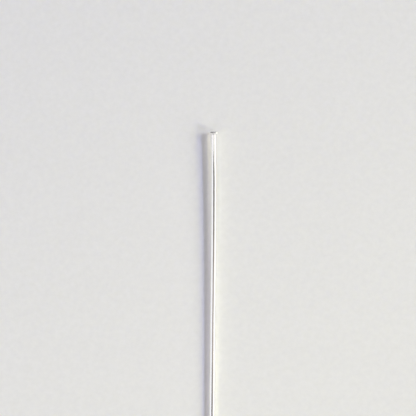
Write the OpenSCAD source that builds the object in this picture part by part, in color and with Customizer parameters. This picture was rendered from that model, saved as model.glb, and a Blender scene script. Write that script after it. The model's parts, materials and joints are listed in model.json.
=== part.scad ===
// Flat head pin for beadwork: a straight wire with a small disc headed on one end.
// It lies on its side, with the head towards +Y and the tail towards -Y.
// The origin is the centre of the head's underside, where a bead comes to rest.
// All sizes are in millimetres.

/* [Wire] */

// Diameter of the wire
wire_d = 0.8; // [0.4:0.05:0.9]
// Length of the whole pin, from the head's outer face to the tail's end
pin_len = 50; // [25:1:75]
// Bevel round the cut end of the tail
tail_bevel = 0.04; // [0.02:0.01:0.1]

/* [Head] */

// Diameter of the head
head_d = 1.5; // [1.3:0.05:3]
// Thickness of the head
head_t = 0.28; // [0.24:0.01:0.5]
// Radius that rounds both edges of the head's rim
rim_r = 0.1; // [0.03:0.01:0.11]
// Radius of the fillet between the wire and the head's underside
fillet_r = 0.06; // [0.02:0.01:0.08]

/* [Hidden] */

$fn = 64;

wire_r = wire_d / 2;
head_r = head_d / 2;
shank_len = pin_len - head_t;

// The pin lies on the head's rim and on the tail's edge, so the wire slopes down to the tail.
rest_tilt = asin((head_r - wire_r) / (shank_len - tail_bevel + rim_r));

silver = [0.86, 0.86, 0.85];

// Half profiles: x is the distance from the axis, and y runs from the head's underside to the tail.

module head_profile() {
    band_t = head_t - 2 * rim_r;
    translate([0, -head_t])
        square([head_r - rim_r, head_t]);
    translate([0, -rim_r - band_t])
        square([head_r, band_t]);
    for (y = [-rim_r, rim_r - head_t])
        translate([head_r - rim_r, y])
            circle(r = rim_r);
}

module fillet_profile() {
    difference() {
        translate([wire_r, 0])
            square(fillet_r);
        translate([wire_r + fillet_r, fillet_r])
            circle(r = fillet_r);
    }
}

module shank_profile() {
    polygon([
        [0, -head_t / 2],
        [wire_r, -head_t / 2],
        [wire_r, shank_len - tail_bevel],
        [wire_r - tail_bevel, shank_len],
        [0, shank_len]
    ]);
}

module head_pin() {
    color(silver)
        rotate([90 + rest_tilt, 0, 0])
            rotate_extrude() {
                head_profile();
                fillet_profile();
                shank_profile();
            }
}

head_pin();
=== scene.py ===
import json
import math

import bmesh
import bpy
from mathutils import Matrix, Vector


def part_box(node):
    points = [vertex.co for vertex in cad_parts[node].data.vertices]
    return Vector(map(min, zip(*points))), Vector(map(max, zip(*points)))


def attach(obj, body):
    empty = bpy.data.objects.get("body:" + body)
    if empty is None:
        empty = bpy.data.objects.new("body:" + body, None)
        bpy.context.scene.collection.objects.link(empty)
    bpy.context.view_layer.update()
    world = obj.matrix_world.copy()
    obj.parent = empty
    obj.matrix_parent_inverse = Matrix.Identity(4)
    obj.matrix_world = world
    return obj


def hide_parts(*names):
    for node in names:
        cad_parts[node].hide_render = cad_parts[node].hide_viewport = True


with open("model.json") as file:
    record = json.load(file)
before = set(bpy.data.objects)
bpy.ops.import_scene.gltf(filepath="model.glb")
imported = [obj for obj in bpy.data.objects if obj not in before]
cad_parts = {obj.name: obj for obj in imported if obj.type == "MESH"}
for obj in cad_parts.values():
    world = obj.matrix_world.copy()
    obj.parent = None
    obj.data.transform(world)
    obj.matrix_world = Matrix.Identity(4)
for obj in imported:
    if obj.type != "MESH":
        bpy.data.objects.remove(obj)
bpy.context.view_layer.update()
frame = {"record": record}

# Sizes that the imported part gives
MM = 0.001
MOUNTS = {mount["name"]: mount for mount in frame["record"]["mounts"]}
LOW, HIGH = (Vector(corner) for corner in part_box("head_pin"))
AXIS = Vector(MOUNTS["shank"]["axis"]).normalized()
SIDE = Vector((1, 0, 0))
UP = AXIS.cross(SIDE)
WIRE_R = MOUNTS["shank"]["dims"]["r_mm"] * MM
HEAD_R = (HIGH.x - LOW.x) / 2
HEAD_T = Vector(MOUNTS["head_face"]["pos_m"]).length
SHANK_LEN = -LOW.y

# Small forms of the pin
RIM_R = 0.1 * MM
FILLET_R = 0.06 * MM
BEVEL = 0.04 * MM
CROWN = 0.012 * MM  # how far the middle of the head's face stands proud of its rim
CUT_SLANT = 0.03 * MM  # how far the cutter left the tail's end out of square

# The bend of this one wire, which stays close to the straight pin all along
BEND_SIDE = 0.112 * MM  # how far the wire bends sideways, at most
BEND_PEAK = 10.5 * MM  # and how far from the head that is
BEND_END = 42 * MM  # the wire curves down from the head and lies on the paper from here on
RIM_GAP = 0.22 * MM  # the bend holds the head's rim this far off the paper
LIFT = 0.15 * MM  # how far the bent pin's head lies above the straight pin's
FLOOR_Z = LOW.z - RIM_GAP + LIFT

# How finely the pin's surface is divided
SEGMENTS = 128
SHANK_STEP = 0.4 * MM
FACE_RINGS = 9
RIM_STEPS = 10
FILLET_STEPS = 8
BEVEL_STEPS = 5
CUT_RINGS = 6

# The photograph's frame
PHOTO_PX = 416
PX_PER_M = 7750
HEAD_TOP_PX = (213.4, 132.05)
LEAN = math.radians(0.34)
LENS_MM = 85
SENSOR_MM = 36

# The window's bands: name, rise and width in degrees, and strength in red, green and blue
WINDOW_BANDS = (
    ("low", 22, 14, (1.03, 1.02, 0.99)),
    ("middle", 34, 14, (1.45, 1.36, 0.52)),
    ("high", 43, 9, (0.95, 1.02, 1.71)),
)
WINDOW_AZIMUTHS = (-30, 0, 20)

# The room: the fill comes from the left, and the walls show to the camera and in the metal
FILL_LEFT = (0.73, 0.72, 0.73, 1)
FILL_RIGHT = (0, 0, 0, 1)
FILL_EDGE = 0.02  # half the width of the soft edge between the two
WALLS = (0.76, 0.755, 0.745, 1)

# How far from the pin the cards stand, in metres. The low ones lie wholly beyond its tail.
CARD_AWAY = 0.5
CEILING_AWAY = 0.6
HEAD_SHADE_AWAY = 0.04
SKIRTING_AWAY = 0.45
LOW_CARD_AWAY = 0.6
LOW_CARD_FROM = -0.3 * LOW_CARD_AWAY
LOW_CARD_TO = -3 * LOW_CARD_AWAY

# The dark camera above the pin, as the wire mirrors it
SHADE_HALF = math.radians(24)
SHADE_END = 5.6 * MM  # how far it reaches past the lens towards the head
SHADE_SLANT = 4 * MM  # how far its end leans, to either side of the middle
SHADE_TURN = math.radians(-5)
SHADE_FADE = 30 * MM  # it pales over this stretch
SHADE_BACK = 46 * MM  # and darkens again from here on
SHADE_REACH = 33 * MM  # half its length
SHADE_ABOVE = 1.02  # its height, as a share of the lens's

# The paper
FLOOR_REACH = 6  # half its side, in metres
PAINTED_LIGHT_TURN = math.radians(53)  # a painted pool of light: it brightens towards the picture's lower right
# half the stretch over which the painted pool of light grows
PAINTED_LIGHT_REACH = 35 * MM
PAPER_EVEN = (60 * MM, 250 * MM)  # over this stretch it turns to one tone
# The paper's colour in two grain tones, at the dim end and the lit end of the painted pool of light
PAPER_PAINTED_DIM = ((0.742, 0.742, 0.752, 1), (0.778, 0.778, 0.788, 1))
PAPER_PAINTED_LIT = ((0.83, 0.83, 0.8, 1), (0.87, 0.87, 0.835, 1))
PAPER_FAR = (0.806, 0.806, 0.793, 1)

# The metal
SILVER = (0.95, 0.945, 0.93, 1)
TARNISH = (0.86, 0.83, 0.78, 1)


def srgb(r, g, b):
    """A colour given in 0 to 255 as the photograph shows it, as linear light."""
    linear = [((c / 255 + 0.055) / 1.055) ** 2.4 for c in (r, g, b)]
    return (*linear, 1)


SHADE_DARK = srgb(20, 14, 14)
SHADE_PALE = srgb(172, 164, 161)


# Helpers for materials

def new_material(name):
    material = bpy.data.materials.new(name)
    material.use_nodes = True
    tree = material.node_tree
    shader = tree.nodes["Principled BSDF"]
    return material, tree, shader


def node(tree, kind, inputs=None, **settings):
    made = tree.nodes.new(kind)
    for key, value in settings.items():
        setattr(made, key, value)
    for key, value in (inputs or {}).items():
        made.inputs[key].default_value = value
    return made


def stretched(tree, scale):
    """The object's own coordinates, scaled by a different amount along each axis."""
    place = node(tree, "ShaderNodeTexCoord")
    mapping = node(tree, "ShaderNodeMapping", {"Scale": scale})
    tree.links.new(place.outputs["Object"], mapping.inputs["Vector"])
    return mapping.outputs["Vector"]


def noise_at(tree, vector, scale, detail=3.0, rough=0.5):
    made = node(tree, "ShaderNodeTexNoise", {"Scale": scale, "Detail": detail, "Roughness": rough})
    tree.links.new(vector, made.inputs["Vector"])
    return made.outputs["Fac"]


def spread(tree, value, low, high, to_low=0.0, to_high=1.0):
    """The value's range from low to high, drawn out to another range and held at its ends."""
    made = node(
        tree,
        "ShaderNodeMapRange",
        {"From Min": low, "From Max": high, "To Min": to_low, "To Max": to_high},
    )
    tree.links.new(value, made.inputs["Value"])
    return made.outputs["Result"]


def mixed(tree, factor, first, second):
    """A blend of two colours; each is a plain colour or an output."""
    made = node(tree, "ShaderNodeMix", data_type="RGBA")
    for socket, value in ((made.inputs[6], first), (made.inputs[7], second)):
        if isinstance(value, tuple):
            socket.default_value = value
        else:
            tree.links.new(value, socket)
    tree.links.new(factor, made.inputs[0])
    return made.outputs[2]


# Materials

def silver_material():
    """Bright drawn wire: fine lines along its length, a few scratches and a breath of tarnish."""
    material, tree, shader = new_material("polished_silver")
    along = stretched(tree, (1, 0.03, 1))
    even = stretched(tree, (1, 1, 1))

    tarnish = spread(tree, noise_at(tree, along, scale=2200, detail=4), 0.45, 0.8)
    colour = mixed(tree, tarnish, SILVER, TARNISH)
    tree.links.new(colour, shader.inputs["Base Color"])
    shader.inputs["Metallic"].default_value = 1.0

    cloud = noise_at(tree, even, scale=1500, detail=3)
    dull = spread(tree, cloud, 0.3, 0.7, to_low=0.04, to_high=0.08)
    slanting = stretched(tree, (1, 0.12, 0.6))
    scratches = spread(
        tree, noise_at(tree, slanting, scale=9000, detail=1), 0.66, 0.7, to_high=0.12
    )
    worn = node(tree, "ShaderNodeMath", operation="ADD")
    tree.links.new(dull, worn.inputs[0])
    tree.links.new(scratches, worn.inputs[1])
    tree.links.new(worn.outputs["Value"], shader.inputs["Roughness"])

    lines = noise_at(tree, along, scale=30000, detail=2)
    bump = node(tree, "ShaderNodeBump", {"Strength": 0.12, "Distance": 0.01 * MM})
    tree.links.new(lines, bump.inputs["Height"])
    tree.links.new(bump.outputs["Normal"], shader.inputs["Normal"])
    return material


def paper_material():
    """Matt paper with a fine grain and a painted pool of light, a little brighter towards the lower
    right of the picture.
    """
    material, tree, shader = new_material("pale_paper")
    even = stretched(tree, (1, 1, 1))
    fibres = spread(tree, noise_at(tree, even, scale=1500, detail=5, rough=0.65), 0.3, 0.7)
    # Painted light: a pool of light painted on the paper, brighter towards the picture's lower right
    dim = mixed(tree, fibres, *PAPER_PAINTED_DIM)
    bright = mixed(tree, fibres, *PAPER_PAINTED_LIT)
    turned = node(tree, "ShaderNodeMapping", {"Rotation": (0, 0, PAINTED_LIGHT_TURN)})
    tree.links.new(even, turned.inputs["Vector"])
    split = node(tree, "ShaderNodeSeparateXYZ")
    tree.links.new(turned.outputs["Vector"], split.inputs["Vector"])
    painted_light_share = spread(tree, split.outputs["X"], -PAINTED_LIGHT_REACH, PAINTED_LIGHT_REACH)
    distance = node(tree, "ShaderNodeVectorMath", operation="LENGTH")
    tree.links.new(even, distance.inputs[0])
    away = spread(tree, distance.outputs["Value"], *PAPER_EVEN)
    colour = mixed(tree, away, mixed(tree, painted_light_share, dim, bright), PAPER_FAR)
    tree.links.new(colour, shader.inputs["Base Color"])
    shader.inputs["Roughness"].default_value = 0.9
    shader.inputs["Specular IOR Level"].default_value = 0.2
    bump = node(tree, "ShaderNodeBump", {"Strength": 0.1, "Distance": 0.02 * MM})
    tree.links.new(fibres, bump.inputs["Height"])
    tree.links.new(bump.outputs["Normal"], shader.inputs["Normal"])
    return material


def glow_material(name, colour, by_way_of_paper=False):
    """A plain glow, or one that is clear except for light that reaches the paper by way of the wire."""
    material = bpy.data.materials.new(name)
    material.use_nodes = True
    tree = material.node_tree
    tree.nodes.clear()
    shown = node(tree, "ShaderNodeEmission", {"Color": colour, "Strength": 1.0}).outputs["Emission"]
    if by_way_of_paper:
        rays = node(tree, "ShaderNodeLightPath")
        once = node(tree, "ShaderNodeMath", {1: 0.5}, operation="GREATER_THAN")
        clear = node(tree, "ShaderNodeBsdfTransparent")
        chosen = node(tree, "ShaderNodeMixShader")
        tree.links.new(rays.outputs["Diffuse Depth"], once.inputs[0])
        tree.links.new(once.outputs["Value"], chosen.inputs["Fac"])
        tree.links.new(clear.outputs["BSDF"], chosen.inputs[1])
        tree.links.new(shown, chosen.inputs[2])
        shown = chosen.outputs["Shader"]
    out = node(tree, "ShaderNodeOutputMaterial")
    tree.links.new(shown, out.inputs["Surface"])
    return material


def shade_material(end):
    """Dark near its far end, paler further back and darker again at its back."""
    material = glow_material("camera_shade", (0, 0, 0, 1))
    tree = material.node_tree
    split = node(tree, "ShaderNodeSeparateXYZ")
    tree.links.new(stretched(tree, (1, 1, 1)), split.inputs["Vector"])
    fade = spread(tree, split.outputs["Y"], end.y, end.y - SHADE_FADE)
    back = spread(tree, split.outputs["Y"], end.y - SHADE_BACK, end.y - 2 * SHADE_REACH)
    colour = mixed(tree, back, mixed(tree, fade, SHADE_DARK, SHADE_PALE), SHADE_DARK)
    tree.links.new(colour, tree.nodes["Emission"].inputs["Color"])
    return material


# The pin

def arc(centre_s, centre_r, radius, start, end, steps):
    """Points (distance along the axis, distance from it) on an arc, angles in degrees."""
    turns = [math.radians(start + (end - start) * i / steps) for i in range(steps + 1)]
    return [(centre_s + radius * math.cos(a), centre_r + radius * math.sin(a)) for a in turns]


def pin_profile():
    """The pin's outline from the middle of the head's face to the middle of the tail's."""
    flat_r = HEAD_R - RIM_R
    points = []
    for i in range(FACE_RINGS):
        share = i / FACE_RINGS
        points.append((-HEAD_T - CROWN * (1 - share**2), flat_r * share))
    points += arc(RIM_R - HEAD_T, flat_r, RIM_R, 180, 90, RIM_STEPS)
    points += arc(-RIM_R, flat_r, RIM_R, 90, 0, RIM_STEPS)
    points += arc(FILLET_R, WIRE_R + FILLET_R, FILLET_R, 180, 270, FILLET_STEPS)
    just_after = 1.2 * FILLET_R  # a ring here keeps the sheen straight right up to the fillet
    points.append((just_after, WIRE_R))
    plain_len = SHANK_LEN - BEVEL - FILLET_R
    steps = round(plain_len / SHANK_STEP)
    for i in range(1, steps + 1):
        points.append((FILLET_R + plain_len * i / steps, WIRE_R))
    points += arc(SHANK_LEN - BEVEL, WIRE_R - BEVEL, BEVEL, 90, 0, BEVEL_STEPS)[1:]
    for i in range(CUT_RINGS - 1, -1, -1):
        points.append((SHANK_LEN, (WIRE_R - BEVEL) * i / CUT_RINGS))
    return points


def bow(s):
    """How far the wire's middle lies from the straight axis, at a distance along it."""
    s = max(s, 0)
    sideways = BEND_SIDE * s / BEND_PEAK * math.exp(1 - s / BEND_PEAK)
    rise = LIFT - FLOOR_Z - WIRE_R
    height = WIRE_R + rise * (1 - min(s / BEND_END, 1)) ** 2
    return SIDE * sideways + UP * (FLOOR_Z + height - AXIS.z * s)


def cut_back(s, height):
    """How far the cutter took the tail's end back, more towards the upper side."""
    if s < SHANK_LEN - BEVEL:
        return 0
    nearness = (s - SHANK_LEN + BEVEL) / BEVEL
    return CUT_SLANT * nearness * (1 + height / WIRE_R) / 2


def add_ring(built, s, r):
    """One ring of the pin's surface, or a single point on its axis."""
    centre = AXIS * s + bow(s)
    if r == 0:
        return [built.verts.new(centre - AXIS * cut_back(s, 0))]
    ring = []
    for i in range(SEGMENTS):
        turn = 2 * math.pi * i / SEGMENTS
        place = centre + r * (SIDE * math.cos(turn) + UP * math.sin(turn))
        ring.append(built.verts.new(place - AXIS * cut_back(s, r * math.sin(turn))))
    return ring


def build_pin():
    mesh = bpy.data.meshes.new("polished_head_pin")
    built = bmesh.new()
    rings = [add_ring(built, s, r) for s, r in pin_profile()]
    for one, two in zip(rings, rings[1:]):
        for i in range(SEGMENTS):
            j = (i + 1) % SEGMENTS
            corners = [one[i % len(one)], one[j % len(one)], two[j % len(two)], two[i % len(two)]]
            unique = list(dict.fromkeys(corners))
            if len(unique) > 2:
                built.faces.new(unique)
    bmesh.ops.recalc_face_normals(built, faces=built.faces)
    built.to_mesh(mesh)
    built.free()
    mesh.shade_smooth()
    pin = bpy.data.objects.new("polished_head_pin", mesh)
    bpy.context.scene.collection.objects.link(pin)
    mesh.materials.append(silver_material())
    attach(pin, "root")
    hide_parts("head_pin")


# The stage

def add_plane(name, centre, across, along, material):
    """A rectangle whose half sides are the vectors across and along."""
    mesh = bpy.data.meshes.new(name)
    corners = [centre + across * x + along * y for x, y in ((-1, -1), (1, -1), (1, 1), (-1, 1))]
    mesh.from_pydata([tuple(c) for c in corners], [], [(0, 1, 2, 3)])
    plane = bpy.data.objects.new(name, mesh)
    bpy.context.scene.collection.objects.link(plane)
    mesh.materials.append(material)
    return plane


def build_floor():
    add_plane(
        "paper",
        Vector((0, 0, FLOOR_Z)),
        Vector((FLOOR_REACH, 0, 0)),
        Vector((0, FLOOR_REACH, 0)),
        paper_material(),
    )


def only_reflected(card):
    card.visible_camera = False
    card.visible_diffuse = False
    card.visible_shadow = False


def direction(azimuth, elevation):
    """The way to a light: azimuth 0 is +X and 90 is +Y, in degrees."""
    a, e = math.radians(azimuth), math.radians(elevation)
    return Vector((math.cos(a) * math.cos(e), math.sin(a) * math.cos(e), math.sin(e)))


def add_card(name, azimuth, elevation, distance, half_width, half_height, colour):
    """A card that faces the pin, seen only in reflections; its half sizes are angles in degrees."""
    towards = direction(azimuth, elevation)
    across = Vector((0, 0, 1)).cross(towards).normalized()
    upward = towards.cross(across)
    card = add_plane(
        name,
        towards * distance,
        across * distance * math.tan(math.radians(half_width)),
        upward * distance * math.tan(math.radians(half_height)),
        glow_material(name, colour),
    )
    only_reflected(card)


def add_low_card(name, low, high, colour):
    """A bright strip low down beyond the tail; the wire throws its light onto the paper beside it.

    Its edges lie at the angles low and high of the pin's cross-section: 0 is +X and 90 is up.
    """
    edges = [Vector((math.cos(a), 0, math.sin(a))) for a in (math.radians(low), math.radians(high))]
    first, last = (edge * LOW_CARD_AWAY for edge in edges)
    outer, inner = Vector((0, LOW_CARD_TO, 0)), Vector((0, LOW_CARD_FROM, 0))
    card = add_plane(
        name,
        (first + last + outer + inner) / 2,
        (inner - outer) / 2,
        (last - first) / 2,
        glow_material(name, colour, by_way_of_paper=True),
    )
    only_reflected(card)


def add_window():
    """Daylight on the paper from a wide window on the right, warm low down and cool high up.

    A band has the same rise in the pin's cross-section at every azimuth.
    """
    for name, rise, width, strength in WINDOW_BANDS:
        for azimuth in WINDOW_AZIMUTHS:
            towards = Vector((1, math.tan(math.radians(azimuth)), math.tan(math.radians(rise))))
            lamp = bpy.data.lights.new(f"window_{name}", "SUN")
            lamp.energy = max(strength) / len(WINDOW_AZIMUTHS)
            lamp.color = [c / max(strength) for c in strength]
            lamp.angle = math.radians(width)
            sun = bpy.data.objects.new(lamp.name, lamp)
            sun.rotation_euler = (-towards).to_track_quat("-Z", "Y").to_euler()
            sun.visible_glossy = False
            bpy.context.scene.collection.objects.link(sun)


def build_world():
    """A pale room: the camera and reflections see its walls, and the fill comes from the left."""
    world = bpy.data.worlds.new("room")
    bpy.context.scene.world = world
    world.use_nodes = True
    tree = world.node_tree
    fill = tree.nodes["Background"]
    place = node(tree, "ShaderNodeTexCoord")
    split = node(tree, "ShaderNodeSeparateXYZ")
    tree.links.new(place.outputs["Generated"], split.inputs["Vector"])
    side = spread(tree, split.outputs["X"], -FILL_EDGE, FILL_EDGE)
    tree.links.new(mixed(tree, side, FILL_LEFT, FILL_RIGHT), fill.inputs["Color"])
    walls = node(tree, "ShaderNodeBackground", {"Color": WALLS})
    rays = node(tree, "ShaderNodeLightPath")
    seen = rays.outputs["Is Camera Ray"]
    for kind in ("Is Glossy Ray", "Is Transmission Ray"):
        total = node(tree, "ShaderNodeMath", operation="ADD", use_clamp=True)
        tree.links.new(seen, total.inputs[0])
        tree.links.new(rays.outputs[kind], total.inputs[1])
        seen = total.outputs["Value"]
    chosen = node(tree, "ShaderNodeMixShader")
    tree.links.new(seen, chosen.inputs["Fac"])
    tree.links.new(fill.outputs["Background"], chosen.inputs[1])
    tree.links.new(walls.outputs["Background"], chosen.inputs[2])
    tree.links.new(chosen.outputs["Shader"], tree.nodes["World Output"].inputs["Surface"])


def build_camera():
    """A camera that looks straight down on the pin, turned by the pin's lean in the photograph."""
    view_m = PHOTO_PX / PX_PER_M
    far = view_m / 2 / math.tan(math.atan(SENSOR_MM / 2 / LENS_MM))
    head_top = -AXIS * HEAD_T
    right = Vector((math.cos(LEAN), math.sin(LEAN), 0))
    up = Vector((-math.sin(LEAN), math.cos(LEAN), 0))
    off_x = (PHOTO_PX / 2 - HEAD_TOP_PX[0]) / PX_PER_M
    off_y = (HEAD_TOP_PX[1] - PHOTO_PX / 2) / PX_PER_M
    centre = head_top + right * off_x + up * off_y
    data = bpy.data.cameras.new("camera")
    data.lens = LENS_MM
    data.sensor_width = SENSOR_MM
    data.clip_start = 0.001
    data.clip_end = 50
    camera = bpy.data.objects.new("camera", data)
    place = Matrix((right, up, right.cross(up))).transposed().to_4x4()
    head_height = LIFT  # the photograph's scale holds at the bent pin's head
    place.translation = Vector((centre.x, centre.y, head_height + far))
    camera.matrix_world = place
    bpy.context.scene.collection.objects.link(camera)
    bpy.context.scene.camera = camera
    return camera


def add_camera_shade(camera):
    """The dark camera above the pin, which shows as a streak on the wire from below the head."""
    eye = camera.matrix_world.translation
    turn = Matrix.Rotation(SHADE_TURN, 3, "Z")
    across = Vector((eye.z * math.tan(SHADE_HALF), -SHADE_SLANT, 0))
    along = turn @ Vector((0, SHADE_REACH, 0))
    end = Vector((eye.x, eye.y + SHADE_END, eye.z * SHADE_ABOVE))
    card = add_plane("camera_shade", end - along, across, along, shade_material(end))
    only_reflected(card)


def build_stage(camera):
    build_floor()
    build_world()
    add_window()
    add_low_card("low_right", 1, 20, (30, 30, 23, 1))
    add_low_card("low_left", 140, 179, (5.4, 4.4, 7.4, 1))
    add_camera_shade(camera)
    add_card("window", -8, 26, CARD_AWAY, 27, 24, (1.35, 1.35, 1.35, 1))
    add_card("left_glow", 196, 42, CARD_AWAY, 15, 25, (1.05, 1.05, 1.1, 1))
    add_card("ceiling", -90, 89, CEILING_AWAY, 28, 28, (0.9, 0.89, 0.88, 1))
    add_card("front_glow", -90, 32, CARD_AWAY, 45, 24, (0.82, 0.81, 0.79, 1))
    add_card("skirting", -90, 7, SKIRTING_AWAY, 60, 5, srgb(90, 88, 88))
    add_card("head_shade", 94, 44, HEAD_SHADE_AWAY, 58, 40.4, srgb(66, 62, 62))


camera = build_camera()
build_pin()
build_stage(camera)

bpy.context.scene.view_settings.view_transform = "Standard"
